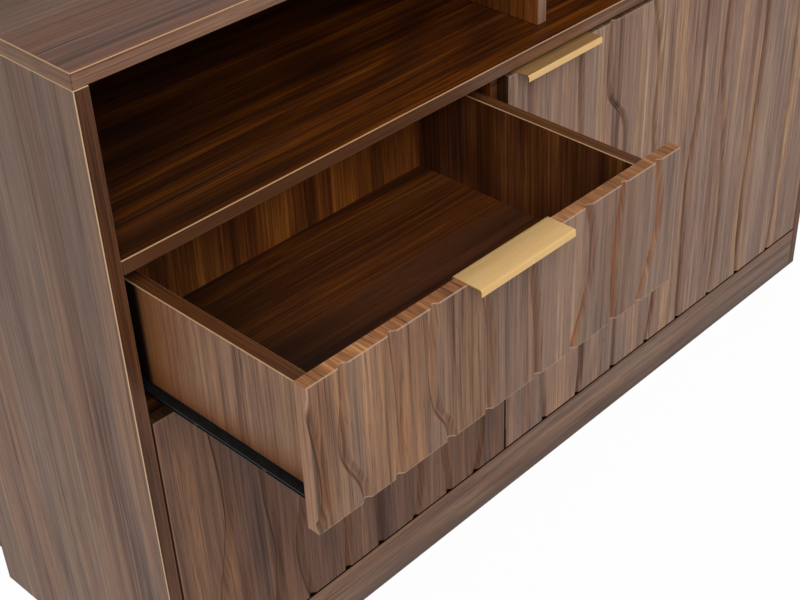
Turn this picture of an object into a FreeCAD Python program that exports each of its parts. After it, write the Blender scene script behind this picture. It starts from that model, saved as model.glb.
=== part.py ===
import FreeCAD, Part
import math
import os

V = FreeCAD.Vector

# Kitchen buffet: two bays of inset fronts with wandering carved grooves, one drawer pulled out,
# an open niche under the top board. X runs to the right, Y to the back, Z up, in millimetres.

# Overall sizes
WIDTH = 1200.0
HEIGHT = 780.0
DEPTH = 350.0
BOARD = 15.0
BACK_T = 4.0
ARRIS = 0.8

# Levels and fronts
PLINTH_H = 66.0
NICHE_H = 163.0
DRAWER_FRONT_H = 155.0
FRONT_T = 15.0
FRONT_ROUND = 1.0
LEFT_FRONT_W = 490.0
GAP_SIDE = 2.0
GAP_SPLIT = 3.0
GAP_TOP = 5.0
GAP_LOW = 3.0
GAP_MID = 4.0
FRONT_SETBACK = 2.0
BAY_SETBACK = 10.0
DIVIDER_SETBACK = 30.0
BACK_SEAM = 1.0

# Carved grooves: a bell-shaped cutter run at one depth along a wandering line
GROOVE_W = 15.0
GROOVE_DEPTH = 4.2
GROOVE_OVER = 0.6
GROOVE_NECK = 3.0
GROOVE_PAST = 0.04
CUTTER_STEPS = 10
# Each groove's way: thousandths of the front's width from its left end, at equal steps from top to bottom
DRAWER_GROOVES = [
    [-13, -5, 5, 12, 17, 21, 22, 13, -16],
    [80, 80, 77, 70, 67, 73, 91, 108, 115],
    [192, 196, 199, 201, 203, 204, 205, 200, 194],
    [294, 290, 285, 283, 283, 288, 300, 322, 327],
    [408, 421, 430, 435, 437, 436, 435, 433, 431],
    [539, 549, 554, 559, 564, 569, 571, 571, 571],
    [711, 722, 727, 727, 725, 714, 701, 685, 677],
    [820, 813, 807, 804, 801, 801, 802, 805, 808],
    [929, 935, 941, 943, 942, 930, 916, 901, 891],
]
LEFT_GROOVES = [
    [118, 121, 125, 129, 133, 136, 137, 137, 133, 125, 116, 105, 97, 91, 90, 91, 96],
    [229, 229, 229, 229, 229, 231, 236, 238, 239, 244, 249, 253, 252, 248, 243, 238, 235],
    [337, 343, 347, 349, 351, 351, 349, 345, 341, 336, 329, 317, 311, 312, 317, 324, 334],
    [437, 440, 442, 445, 447, 449, 451, 452, 453, 454, 455, 456, 456, 456, 453, 450, 447],
    [551, 547, 545, 543, 543, 544, 546, 548, 551, 554, 557, 560, 561, 561, 560, 559, 556],
    [673, 668, 664, 662, 661, 662, 665, 669, 673, 680, 687, 693, 696, 697, 693, 687, 673],
    [792, 790, 788, 786, 784, 781, 779, 776, 776, 776, 776, 776, 776, 780, 786, 791, 793],
    [890, 884, 880, 878, 878, 880, 885, 892, 898, 904, 910, 914, 916, 915, 912, 903, 890],
]
RIGHT_GROOVES = [
    [55, 55, 56, 58, 61, 64, 68, 73, 77, 82, 86, 91, 95, 99, 103, 108, 114],
    [180, 184, 187, 190, 192, 196, 199, 203, 207, 210, 212, 216, 218, 219, 220, 218, 213],
    [269, 266, 265, 273, 311, 324, 325, 326, 326, 326, 326, 326, 326, 326, 325, 325, 325],
    [388, 401, 410, 415, 413, 411, 414, 419, 426, 432, 440, 446, 450, 452, 451, 444, 438],
    [559, 560, 560, 560, 560, 558, 554, 549, 541, 537, 537, 538, 539, 540, 542, 543, 547],
    [639, 634, 631, 630, 630, 633, 640, 648, 654, 659, 664, 667, 669, 668, 667, 664, 660],
    [750, 759, 766, 771, 773, 772, 771, 770, 768, 765, 761, 757, 755, 756, 758, 762, 768],
    [909, 904, 900, 897, 896, 897, 898, 900, 900, 900, 900, 900, 900, 899, 897, 893, 889],
]

# Drawer box
DRAWER_DROP = 15.0
DRAWER_LEN = 316.0
DRAWER_BOARD = 15.0
DRAWER_INSIDE = 110.0
DRAWER_FLOOR_T = 4.0
FLOOR_LET_IN = 5.0
FLOOR_ABOVE = 6.5
SLIDE_SPACE = 14.0

# Roller slides
SLIDE_LEN = 300.0
SLIDE_FROM_FRONT = 3.0
SLIDE_STEEL = 1.2
CHANNEL_H = 26.0
CHANNEL_D = 9.0
CHANNEL_DROP = 9.0
RUNNER_RISE = 13.5
RUNNER_UNDER = 10.0
HEM_W = 1.8
RUNNER_LIP = 7.8
LIP_DOWN = 2.5
ROLLER_R = 8.0
ROLLER_W = 5.0
ROLLER_FROM_END = 10.0
ROLLER_RUN = 0.3
ROLLERS_APART = 55.8
AXLE_R = 2.0
AXLE_CLEAR = 0.05
SHOULDER_R = 3.5
SHOULDER_W = 2.0

# Edge pulls
PULL_L = 125.0
PULL_T = 2.0
PULL_OVER = 17.0
PULL_LIP = 7.5
PULL_LEG = 22.0
PULL_BEND = 1.6
PULL_CREASE = 0.5
PULL_END = 13.0
PULL_SCREW_SPAN = 80.0

# Cup hinges
CUP_R = 17.5
CUP_DEPTH = 10.0
CUP_WALL = 1.2
CUP_EDGE = 5.0
CUP_EAR = 29.0
EAR_FROM = 2.0
EAR_W = 15.0
CUP_SCREW_Z = 22.5
CUP_SCREW_X = 9.5
HINGE_IN = 80.0
PLATE_T = 3.0
PLATE_Y = 39.0
PLATE_W = 18.0
PLATE_H = 25.0
PLATE_SCREW_Z = 16.0
ARM_T = 10.0
ARM_H = 8.0
ARM_END = 78.0
ARM_BEND = 36.0
NOSE_W = 5.0
NOSE_IN = 5.0

# Screws, dowels, cams, pins, nails
FIT = 0.1
SCREW_R = 1.75
SCREW_L = 11.0
SCREW_HEAD_R = 3.4
SCREW_HEAD_H = 1.8
DOWEL_R = 4.0
DOWEL_IN_FACE = 9.0
DOWEL_IN_END = 20.0
CAM_R = 7.5
CAM_H = 11.5
CAM_DIST = 24.0
CAM_DRIVE_R = 2.5
CAM_DRIVE_H = 3.0
BOLT_R = 3.0
BOLT_IN_FACE = 9.0
CAM_FROM_EDGE = 55.0
DOWEL_NEXT = 32.0
PIN_R = 2.5
PIN_IN = 9.0
PIN_OUT = 8.0
PIN_STEP = 64.0
PIN_FROM_END = 45.0
SHELF_PLAY = 1.0
SHELF_SETBACK = 20.0
SHELF_UNDER_DRAWER = 103.0
NAIL_R = 0.8
NAIL_L = 18.0
NAIL_HEAD_R = 2.0
NAIL_HEAD_H = 1.0
NAILS_PER_RUN = 6
BUMPER_R = 2.4
BUMPER_CLEAR = 0.3
BUMPER_IN = 40.0

# Places worked out from the sizes
inner_left = BOARD
inner_right = WIDTH - BOARD
carcass_d = DEPTH - BACK_T
top_under = HEIGHT - BOARD
shelf_top = top_under - NICHE_H
shelf_under = shelf_top - BOARD
front_top = shelf_under - GAP_TOP
drawer_front_low = front_top - DRAWER_FRONT_H
left_door_top = drawer_front_low - GAP_MID
door_low = PLINTH_H + GAP_LOW
left_x0 = inner_left + GAP_SIDE
left_x1 = left_x0 + LEFT_FRONT_W
split = left_x1 + GAP_SPLIT / 2
right_x0 = left_x1 + GAP_SPLIT
right_x1 = inner_right - GAP_SIDE
part_x0 = split - BOARD / 2
part_x1 = split + BOARD / 2
inner_y = FRONT_T + FRONT_SETBACK
bay_top = left_door_top
bay_mid = bay_top - BOARD / 2
bay_y = inner_y + BAY_SETBACK
drawer_left = inner_left + SLIDE_SPACE
drawer_right = part_x0 - SLIDE_SPACE
drawer_top = front_top - DRAWER_DROP
floor_top = drawer_top - DRAWER_INSIDE
floor_low = floor_top - DRAWER_FLOOR_T
drawer_low = floor_low - FLOOR_ABOVE
drawer_back = FRONT_T + DRAWER_LEN
niche_mid = WIDTH / 2
channel_y0 = inner_y + SLIDE_FROM_FRONT
channel_y1 = channel_y0 + SLIDE_LEN
runner_y0 = FRONT_T + ARRIS
runner_y1 = runner_y0 + SLIDE_LEN
front_roller_y = channel_y0 + ROLLER_FROM_END
rear_roller_y = runner_y1 - ROLLER_FROM_END
# The drawer stands out until its rear rollers are this far short of the cabinet's front rollers
drawer_out = rear_roller_y - front_roller_y - ROLLERS_APART
# The origin stands on the floor in the middle of the whole footprint, drawer out
origin = V(WIDTH / 2, (DEPTH - drawer_out - PULL_OVER) / 2, 0)

parts = {}
holes = {}
groups = {}


def box(x0, x1, y0, y1, z0, z1):
    return Part.makeBox(x1 - x0, y1 - y0, z1 - z0, V(x0, y0, z0))


def board(x0, x1, y0, y1, z0, z1):
    """A board with a small chamfer on every edge."""
    plain = box(x0, x1, y0, y1, z0, z1)
    return plain.makeChamfer(ARRIS, plain.Edges)


def rod(radius, start, along, length):
    return Part.makeCylinder(radius, length, start, along)


def drill(name, tool):
    holes.setdefault(name, []).append(tool)


def gather(name, solid):
    groups.setdefault(name, []).append(solid)


def screw(group, through, start, along):
    """A pan-headed screw whose head sits on start and whose shank runs along; the pieces get its hole."""
    head = rod(SCREW_HEAD_R, start - along * SCREW_HEAD_H, along, SCREW_HEAD_H)
    shank = rod(SCREW_R, start, along, SCREW_L)
    gather(group, head.fuse(shank))
    for name in through:
        drill(name, rod(SCREW_R + FIT, start - along * FIT, along, SCREW_L + 2 * FIT))


def dowel(group, face, end, place, along):
    """A wooden dowel let into a board's face and into another board's end."""
    start = place - along * DOWEL_IN_FACE
    length = DOWEL_IN_FACE + DOWEL_IN_END
    gather(group, rod(DOWEL_R, start, along, length))
    bore = rod(DOWEL_R + FIT, start - along * FIT, along, length + 2 * FIT)
    drill(face, bore)
    drill(end, bore)


def cam(group, face, end, place, along, out, thick):
    """A bolt in a board's face, drawn into another board's end by a cam bored from the side called out."""
    start = place - along * BOLT_IN_FACE
    length = BOLT_IN_FACE + CAM_DIST
    gather(group + "_bolts", rod(BOLT_R, start, along, length))
    bore = rod(BOLT_R + FIT, start - along * FIT, along, length + 2 * FIT)
    drill(face, bore)
    drill(end, bore)
    centre = place + along * CAM_DIST
    floor = centre + out * (thick / 2 - CAM_H)
    disc = rod(CAM_R, floor, out, CAM_H - FIT)
    drive = rod(CAM_DRIVE_R, floor + out * (CAM_H - CAM_DRIVE_H), out, CAM_DRIVE_H)
    gather(group + "_cams", disc.cut(bore).cut(drive))
    drill(end, rod(CAM_R + FIT, floor - out * FIT, out, CAM_H + 2 * FIT))


def join(group, face, end, places, along, out, thick):
    """Cams at the listed places, each with a dowel beside it; a place is a point and the way to its dowel."""
    for place, beside in places:
        cam(group, face, end, place, along, out, thick)
        dowel(group + "_dowels", face, end, place + beside * DOWEL_NEXT, along)


def cutter(x_mid, z):
    """The cutter's outline on one level: a bell into the face, closed by a neck in front of it."""
    bell = []
    for i in range(CUTTER_STEPS + 1):
        across = i / CUTTER_STEPS - 0.5
        deep = (GROOVE_DEPTH + GROOVE_OVER) * (1 + math.cos(2 * math.pi * across)) / 2
        bell.append(V(x_mid + GROOVE_W * across, deep - GROOVE_OVER, z))
    curve = Part.BSplineCurve()
    curve.interpolate(bell)
    right = V(x_mid + GROOVE_W / 2, -GROOVE_OVER - GROOVE_NECK, z)
    left = V(x_mid - GROOVE_W / 2, -GROOVE_OVER - GROOVE_NECK, z)
    neck = [Part.makeLine(bell[-1], right), Part.makeLine(right, left), Part.makeLine(left, bell[0])]
    return Part.Wire([curve.toShape()] + neck)


def front(x0, x1, z0, z1, grooves):
    """An inset front: rounded edges round the face, then the grooves."""
    plain = box(x0, x1, 0, FRONT_T, z0, z1)
    face_edges = [e for e in plain.Edges if e.BoundBox.YMax < FRONT_T / 2]
    shape = plain.makeFillet(FRONT_ROUND, face_edges)
    rear_edges = [e for e in shape.Edges if e.BoundBox.YMin > FRONT_T - FIT]
    shape = shape.makeChamfer(ARRIS, rear_edges)
    for way in grooves:
        last = len(way) - 1
        above = way[0] + GROOVE_PAST * last * (way[0] - way[1])
        below = way[last] + GROOVE_PAST * last * (way[last] - way[last - 1])
        places = [(-GROOVE_PAST, above)]
        places += [(i / last, across) for i, across in enumerate(way)]
        places.append((1 + GROOVE_PAST, below))
        rings = [cutter(x0 + across / 1000 * (x1 - x0), z1 - down * (z1 - z0)) for down, across in places]
        shape = shape.cut(Part.makeLoft(rings, True, False))
    return shape


def runs_along(edge, places):
    """Whether an edge runs the pull's length at one of these places in its section."""
    size = edge.BoundBox
    if size.XLength < PULL_L - FIT:
        return False
    return any(abs(size.Center.y - y) + abs(size.Center.z - z) < FIT for y, z in places)


def pull(x_mid, top):
    """An edge pull bent from sheet: a leg behind the front, a plate over its top edge and a lip in front."""
    rear = FRONT_T + PULL_T
    nose = -PULL_OVER
    outline = [
        (nose, PULL_T),
        (rear, PULL_T),
        (rear, -PULL_LEG),
        (FRONT_T, -PULL_LEG),
        (FRONT_T, 0),
        (nose + PULL_T, 0),
        (nose + PULL_T, PULL_T - PULL_LIP),
        (nose, PULL_T - PULL_LIP),
    ]
    corners = [V(x_mid - PULL_L / 2, y, top + z) for y, z in outline]
    wire = Part.makePolygon(corners + corners[:1])
    plain = Part.Face(wire).extrude(V(PULL_L, 0, 0))
    outer = [(nose, top + PULL_T), (rear, top + PULL_T)]
    inner = [(FRONT_T, top), (nose + PULL_T, top)]
    bent = plain.makeFillet(PULL_BEND, [e for e in plain.Edges if runs_along(e, outer)])
    return bent.makeFillet(PULL_CREASE, [e for e in bent.Edges if runs_along(e, inner)])


def fix_pull(kind, host, x_mid, top):
    name = "pull_" + kind
    parts[name] = pull(x_mid, top)
    for side in (-1, 1):
        place = V(x_mid + side * PULL_SCREW_SPAN / 2, FRONT_T + PULL_T, top - PULL_LEG / 2)
        screw("pull_screws_" + kind, [name, host], place, V(0, -1, 0))


# Carcass boards
parts["side_left"] = board(0, inner_left, 0, carcass_d, 0, top_under)
parts["side_right"] = board(inner_right, WIDTH, 0, carcass_d, 0, top_under)
parts["top_board"] = board(0, WIDTH, 0, DEPTH, top_under, HEIGHT)
parts["niche_shelf"] = board(inner_left, inner_right, 0, carcass_d, shelf_under, shelf_top)
divider_x0 = niche_mid - BOARD / 2
divider_x1 = niche_mid + BOARD / 2
parts["niche_divider"] = board(divider_x0, divider_x1, DIVIDER_SETBACK, carcass_d, shelf_top, top_under)
parts["partition"] = board(part_x0, part_x1, inner_y, carcass_d, PLINTH_H, shelf_under)
parts["bay_divider"] = board(inner_left, part_x0, bay_y, carcass_d, bay_top - BOARD, bay_top)
parts["bottom_board"] = board(inner_left, inner_right, BOARD, carcass_d, PLINTH_H - BOARD, PLINTH_H)
parts["plinth_front"] = board(inner_left, inner_right, 0, BOARD, 0, PLINTH_H)
kick_top = PLINTH_H - BOARD
rear_kick_y = carcass_d - BOARD
parts["plinth_rear"] = board(inner_left, inner_right, rear_kick_y, carcass_d, 0, kick_top)
parts["plinth_brace"] = board(part_x0, part_x1, BOARD, rear_kick_y, 0, kick_top)

# Thin back boards, nailed over the rear edges under the top board
seam_z = shelf_under + BOARD / 2
seam = BACK_SEAM / 2
parts["back_niche"] = box(0, WIDTH, carcass_d, DEPTH, seam_z + seam, top_under)
parts["back_left"] = box(0, split - seam, carcass_d, DEPTH, kick_top, seam_z - seam)
parts["back_right"] = box(split + seam, WIDTH, carcass_d, DEPTH, kick_top, seam_z - seam)


def nail(back, into, x, z):
    tip = V(x, DEPTH - NAIL_HEAD_H - NAIL_L, z)
    rear = V(0, 1, 0)
    shank = rod(NAIL_R, tip, rear, NAIL_L)
    head = rod(NAIL_HEAD_R, V(x, DEPTH - NAIL_HEAD_H, z), rear, NAIL_HEAD_H)
    gather("back_nails", shank.fuse(head))
    drill(back, rod(NAIL_R + FIT, V(x, carcass_d - FIT, z), rear, BACK_T + 2 * FIT))
    drill(back, rod(NAIL_HEAD_R + FIT, V(x, DEPTH - NAIL_HEAD_H - FIT, z), rear, NAIL_HEAD_H + 2 * FIT))
    drill(into, rod(NAIL_R + FIT, tip - rear * FIT, rear, NAIL_L))


def nail_run(back, into, start, stop):
    for i in range(NAILS_PER_RUN):
        share = (i + 0.5) / NAILS_PER_RUN
        nail(back, into, start[0] + share * (stop[0] - start[0]), start[1] + share * (stop[1] - start[1]))


half = BOARD / 2
nail_run("back_left", "side_left", (half, kick_top), (half, seam_z))
nail_run("back_right", "side_right", (WIDTH - half, kick_top), (WIDTH - half, seam_z))
nail_run("back_left", "bottom_board", (inner_left, kick_top + half), (part_x0, kick_top + half))
nail_run("back_right", "bottom_board", (part_x1, kick_top + half), (inner_right, kick_top + half))
quarter = BOARD / 4
nail_run("back_left", "niche_shelf", (inner_left, seam_z - quarter), (split - half, seam_z - quarter))
nail_run("back_right", "niche_shelf", (split + half, seam_z - quarter), (inner_right, seam_z - quarter))
nail_run("back_niche", "niche_shelf", (inner_left, seam_z + quarter), (inner_right, seam_z + quarter))
nail_run("back_niche", "side_left", (half, shelf_top), (half, top_under))
nail_run("back_niche", "side_right", (WIDTH - half, shelf_top), (WIDTH - half, top_under))

# Carcass joints: bolts with cams, a dowel beside each
RIGHT = V(1, 0, 0)
LEFT = V(-1, 0, 0)
REAR = V(0, 1, 0)
FORE = V(0, -1, 0)
UP = V(0, 0, 1)
DOWN = V(0, 0, -1)


def near_and_far(x, z, y0, y1):
    return [(V(x, y0 + CAM_FROM_EDGE, z), REAR), (V(x, y1 - CAM_FROM_EDGE, z), FORE)]


bottom_mid = PLINTH_H - half
deep = [
    ("side_left", "bottom_board", inner_left, bottom_mid, BOARD, RIGHT, DOWN),
    ("side_right", "bottom_board", inner_right, bottom_mid, BOARD, LEFT, DOWN),
    ("side_left", "niche_shelf", inner_left, seam_z, 0, RIGHT, DOWN),
    ("side_right", "niche_shelf", inner_right, seam_z, 0, LEFT, DOWN),
    ("top_board", "side_left", half, top_under, 0, DOWN, RIGHT),
    ("top_board", "side_right", WIDTH - half, top_under, 0, DOWN, LEFT),
    ("bottom_board", "partition", split, PLINTH_H, inner_y, UP, RIGHT),
    ("niche_shelf", "partition", split, shelf_under, inner_y, DOWN, RIGHT),
    ("side_left", "bay_divider", inner_left, bay_mid, bay_y, RIGHT, DOWN),
    ("partition", "bay_divider", part_x0, bay_mid, bay_y, LEFT, DOWN),
    ("niche_shelf", "niche_divider", niche_mid, shelf_top, DIVIDER_SETBACK, UP, RIGHT),
    ("top_board", "niche_divider", niche_mid, top_under, DIVIDER_SETBACK, DOWN, RIGHT),
]
for face, end, x, z, y0, along, out in deep:
    join("carcass", face, end, near_and_far(x, z, y0, carcass_d), along, out, BOARD)

kick_low = (kick_top - DOWEL_NEXT) / 2
kick = [
    ("side_left", "plinth_front", V(inner_left, half, kick_low), RIGHT, REAR),
    ("side_right", "plinth_front", V(inner_right, half, kick_low), LEFT, REAR),
    ("side_left", "plinth_rear", V(inner_left, carcass_d - half, kick_low), RIGHT, FORE),
    ("side_right", "plinth_rear", V(inner_right, carcass_d - half, kick_low), LEFT, FORE),
    ("plinth_front", "plinth_brace", V(split, BOARD, kick_low), REAR, RIGHT),
    ("plinth_rear", "plinth_brace", V(split, rear_kick_y, kick_low), FORE, RIGHT),
]
for face, end, place, along, out in kick:
    join("carcass", face, end, [(place, UP)], along, out, BOARD)

# Loose shelf in the right bay on four pins, with spare rows of pin holes
shelf_y0 = inner_y + SHELF_SETBACK
inner_shelf_low = left_door_top - SHELF_UNDER_DRAWER
inner_shelf_x0 = part_x1 + SHELF_PLAY
inner_shelf_x1 = inner_right - SHELF_PLAY
inner_shelf_top = inner_shelf_low + BOARD
parts["inner_shelf"] = board(
    inner_shelf_x0, inner_shelf_x1, shelf_y0, carcass_d - SHELF_PLAY, inner_shelf_low, inner_shelf_top)
for host, x, along in (("partition", part_x1, RIGHT), ("side_right", inner_right, LEFT)):
    for y in (shelf_y0 + PIN_FROM_END, carcass_d - SHELF_PLAY - PIN_FROM_END):
        for row in (-1, 0, 1):
            place = V(x, y, inner_shelf_low - PIN_R + row * PIN_STEP) - along * PIN_IN
            drill(host, rod(PIN_R + FIT, place - along * FIT, along, PIN_IN + 2 * FIT))
            if row == 0:
                gather("shelf_pins", rod(PIN_R, place, along, PIN_IN + PIN_OUT))

# Fronts
parts["drawer_front"] = front(
    left_x0, left_x1, drawer_front_low, front_top, DRAWER_GROOVES)
parts["door_left"] = front(
    left_x0, left_x1, door_low, left_door_top, LEFT_GROOVES)
parts["door_right"] = front(
    right_x0, right_x1, door_low, front_top, RIGHT_GROOVES)

# Edge pulls: in the middle of the drawer, at the opening end of each door
fix_pull("drawer", "drawer_front", (left_x0 + left_x1) / 2, front_top)
fix_pull("left", "door_left", left_x1 - PULL_END - PULL_L / 2, left_door_top)
fix_pull("right", "door_right", right_x0 + PULL_END + PULL_L / 2, front_top)

# Cup hinges, worked out at the left and mirrored to the right
cup_x = left_x0 + CUP_EDGE + CUP_R
arm_x = inner_left + PLATE_T


def mirrored(shape, mid):
    return shape.mirror(V(mid, 0, 0), V(1, 0, 0))


def cup(z):
    """The cup pressed into the door's back, with a flange and two ears on the back face."""
    low = V(cup_x, FRONT_T - CUP_DEPTH, z)
    body = rod(CUP_R, low, REAR, CUP_DEPTH + CUP_WALL)
    ears = box(cup_x + EAR_FROM, cup_x + EAR_FROM + EAR_W, FRONT_T, FRONT_T + CUP_WALL, z - CUP_EAR, z + CUP_EAR)
    hollow = rod(CUP_R - CUP_WALL, low + REAR * CUP_WALL, REAR, CUP_DEPTH + CUP_WALL)
    return body.fuse(ears).cut(hollow).removeSplitter()


def arm(z):
    """The cranked arm on its plate, whose nose reaches into the cup."""
    outline = [
        (arm_x, ARM_END),
        (arm_x + ARM_T, ARM_END),
        (arm_x + ARM_T, ARM_BEND),
        (cup_x + NOSE_W, FRONT_T + 2 * NOSE_IN),
        (cup_x + NOSE_W, FRONT_T - NOSE_IN),
        (cup_x - NOSE_W, FRONT_T - NOSE_IN),
        (cup_x - NOSE_W, FRONT_T + NOSE_IN),
        (arm_x, ARM_BEND - NOSE_IN),
    ]
    corners = [V(x, y, z - ARM_H) for x, y in outline]
    wire = Part.makePolygon(corners + corners[:1])
    return Part.Face(wire).extrude(V(0, 0, 2 * ARM_H))


def hinge_set(door, side, kind, top, mid):
    for z in (door_low + HINGE_IN, top - HINGE_IN):
        pieces = {
            "hinge_cups_" + kind: cup(z),
            "hinge_arms_" + kind: arm(z),
            "hinge_plates_" + kind: box(inner_left, arm_x, PLATE_Y, PLATE_Y + PLATE_W, z - PLATE_H, z + PLATE_H),
        }
        bore = rod(CUP_R + FIT, V(cup_x, FRONT_T - CUP_DEPTH - FIT, z), REAR, CUP_DEPTH + 2 * FIT)
        drill(door, bore if mid is None else mirrored(bore, mid))
        for name, shape in pieces.items():
            gather(name, shape if mid is None else mirrored(shape, mid))
        for way in (-1, 1):
            cup_place = V(cup_x + CUP_SCREW_X, FRONT_T + CUP_WALL, z + way * CUP_SCREW_Z)
            plate_place = V(arm_x, PLATE_Y + PLATE_W / 2, z + way * PLATE_SCREW_Z)
            inward = LEFT
            if mid is not None:
                cup_place.x = 2 * mid - cup_place.x
                plate_place.x = 2 * mid - plate_place.x
                inward = RIGHT
            screw("cup_screws_" + kind, ["hinge_cups_" + kind, door], cup_place, FORE)
            screw("plate_screws_" + kind, ["hinge_plates_" + kind, side], plate_place, inward)


hinge_set("door_left", "side_left", "left", left_door_top, None)
hinge_set("door_right", "side_right", "right", front_top, WIDTH / 2)

# Soft bumpers on the partition's front edge, where the fronts close
for x in ((part_x0 + left_x1) / 2, (right_x0 + part_x1) / 2):
    for z in (door_low + BUMPER_IN, left_door_top - BUMPER_IN, front_top - BUMPER_IN):
        gather("bumpers", rod(BUMPER_R, V(x, inner_y, z), FORE, FRONT_SETBACK - BUMPER_CLEAR))

# Drawer box, built closed
drawer_in_left = drawer_left + DRAWER_BOARD
drawer_in_right = drawer_right - DRAWER_BOARD
inside_back = drawer_back - DRAWER_BOARD
parts["drawer_side_left"] = board(drawer_left, drawer_in_left, FRONT_T, drawer_back, drawer_low, drawer_top)
parts["drawer_side_right"] = board(drawer_in_right, drawer_right, FRONT_T, drawer_back, drawer_low, drawer_top)
parts["drawer_back"] = board(drawer_in_left, drawer_in_right, inside_back, drawer_back, drawer_low, drawer_top)
parts["drawer_floor"] = box(
    drawer_in_left - FLOOR_LET_IN, drawer_in_right + FLOOR_LET_IN,
    FRONT_T - FLOOR_LET_IN, inside_back + FLOOR_LET_IN, floor_low, floor_top)
slot_end = FLOOR_LET_IN + FIT
slot = box(
    drawer_in_left - slot_end, drawer_in_right + slot_end,
    FRONT_T - slot_end, inside_back + slot_end, floor_low, floor_top)
for name in ("drawer_front", "drawer_side_left", "drawer_side_right", "drawer_back"):
    drill(name, slot)
side_mid_left = drawer_left + DRAWER_BOARD / 2
side_mid_right = drawer_right - DRAWER_BOARD / 2
cam_z = floor_top + CAM_FROM_EDGE / 2
for name, x, out in (("drawer_side_left", side_mid_left, RIGHT), ("drawer_side_right", side_mid_right, LEFT)):
    join("drawer", "drawer_front", name, [(V(x, FRONT_T, cam_z), UP)], REAR, out, DRAWER_BOARD)
back_mid = drawer_back - DRAWER_BOARD / 2
for name, x, along in (("drawer_side_left", drawer_in_left, RIGHT), ("drawer_side_right", drawer_in_right, LEFT)):
    join("drawer", name, "drawer_back", [(V(x, back_mid, cam_z), UP)], along, REAR, DRAWER_BOARD)

# Roller slides: a channel on the cabinet, a runner under the drawer side, one roller on each
channel_low = drawer_low - CHANNEL_DROP
channel_top = channel_low + CHANNEL_H
web_x = inner_left + SLIDE_STEEL
lip_x = inner_left + CHANNEL_D
plate_x = drawer_left - SLIDE_STEEL
roller_x0 = web_x + SHOULDER_W
roller_x1 = roller_x0 + ROLLER_W
lip_z = drawer_low + RUNNER_RISE - LIP_DOWN
front_roller_z = lip_z - ROLLER_RUN - ROLLER_R
rear_roller_z = channel_low + SLIDE_STEEL + ROLLER_RUN + ROLLER_R
channel = box(inner_left, web_x, channel_y0, channel_y1, channel_low, channel_top)
channel = channel.fuse(box(inner_left, lip_x, channel_y0, channel_y1, channel_low, channel_low + SLIDE_STEEL))
channel = channel.fuse(box(inner_left, lip_x, channel_y0, channel_y1, channel_top - SLIDE_STEEL, channel_top))
front_hub = V(inner_left, front_roller_y, front_roller_z)
channel = channel.fuse(rod(SHOULDER_R, front_hub, RIGHT, SLIDE_STEEL + SHOULDER_W - ROLLER_RUN))
channel = channel.fuse(rod(AXLE_R, front_hub, RIGHT, roller_x1 - inner_left)).removeSplitter()
hem_low = drawer_low - SLIDE_STEEL
runner = box(plate_x, drawer_left, runner_y0, runner_y1, hem_low, drawer_low + RUNNER_RISE)
under_x = drawer_left + RUNNER_UNDER
runner = runner.fuse(box(plate_x, under_x, runner_y0, runner_y1, drawer_low - SLIDE_STEEL, drawer_low))
runner = runner.fuse(box(plate_x - HEM_W, plate_x, runner_y0, runner_y1, hem_low, hem_low + SLIDE_STEEL))
runner = runner.fuse(box(plate_x - RUNNER_LIP, plate_x, runner_y0, runner_y1, lip_z, lip_z + SLIDE_STEEL))
rear_hub = V(plate_x, rear_roller_y, rear_roller_z)
runner = runner.fuse(rod(SHOULDER_R, rear_hub, LEFT, plate_x - roller_x1 - ROLLER_RUN))
runner = runner.fuse(rod(AXLE_R, rear_hub, LEFT, plate_x - roller_x0)).removeSplitter()


def roller(y, z):
    wheel = rod(ROLLER_R, V(roller_x0, y, z), RIGHT, ROLLER_W)
    return wheel.cut(rod(AXLE_R + AXLE_CLEAR, V(roller_x0, y, z), RIGHT, ROLLER_W))


bay_mid_x = (inner_left + part_x0) / 2
slide_pieces = {
    "slide_channel": channel,
    "slide_runner": runner,
    "roller_front": roller(front_roller_y, front_roller_z),
    "roller_rear": roller(rear_roller_y, rear_roller_z),
}
for name, shape in slide_pieces.items():
    parts[name + "_left"] = shape
    parts[name + "_right"] = mirrored(shape, bay_mid_x)
channel_screw_z = channel_low + CHANNEL_H / 2
runner_screw_z = drawer_low + SCREW_HEAD_R + 2 * FIT
for share in (0.2, 0.5, 0.8):
    channel_y = channel_y0 + share * SLIDE_LEN
    runner_y = runner_y0 + share * SLIDE_LEN
    screw("channel_screws", ["slide_channel_left", "side_left"], V(web_x, channel_y, channel_screw_z), LEFT)
    far_web = 2 * bay_mid_x - web_x
    screw("channel_screws", ["slide_channel_right", "partition"], V(far_web, channel_y, channel_screw_z), RIGHT)
    screw("runner_screws", ["slide_runner_left", "drawer_side_left"], V(plate_x, runner_y, runner_screw_z), RIGHT)
    far_plate = 2 * bay_mid_x - plate_x
    screw("runner_screws", ["slide_runner_right", "drawer_side_right"], V(far_plate, runner_y, runner_screw_z), LEFT)

# Cut the holes, pull the drawer out, move to the origin and write one file per piece
for name, tools in holes.items():
    if name in groups:
        groups[name] = [solid.cut(tools) for solid in groups[name]]
    else:
        parts[name] = parts[name].cut(tools)
for name, solids in groups.items():
    parts[name] = Part.makeCompound(solids)

drawer_names = [
    "drawer_front", "drawer_side_left", "drawer_side_right", "drawer_back", "drawer_floor", "pull_drawer",
    "pull_screws_drawer", "drawer_cams", "drawer_bolts", "drawer_dowels", "runner_screws",
    "slide_runner_left", "slide_runner_right", "roller_rear_left", "roller_rear_right",
]
os.makedirs("parts", exist_ok=True)
for name, shape in parts.items():
    placed = shape.copy()
    shift = V(0, -drawer_out, 0) if name in drawer_names else V(0, 0, 0)
    placed.translate(shift - origin)
    placed.exportStep("parts/" + name + ".step")
    print(name, len(placed.Solids), placed.isValid(), round(placed.Volume / 1000, 1))
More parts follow.
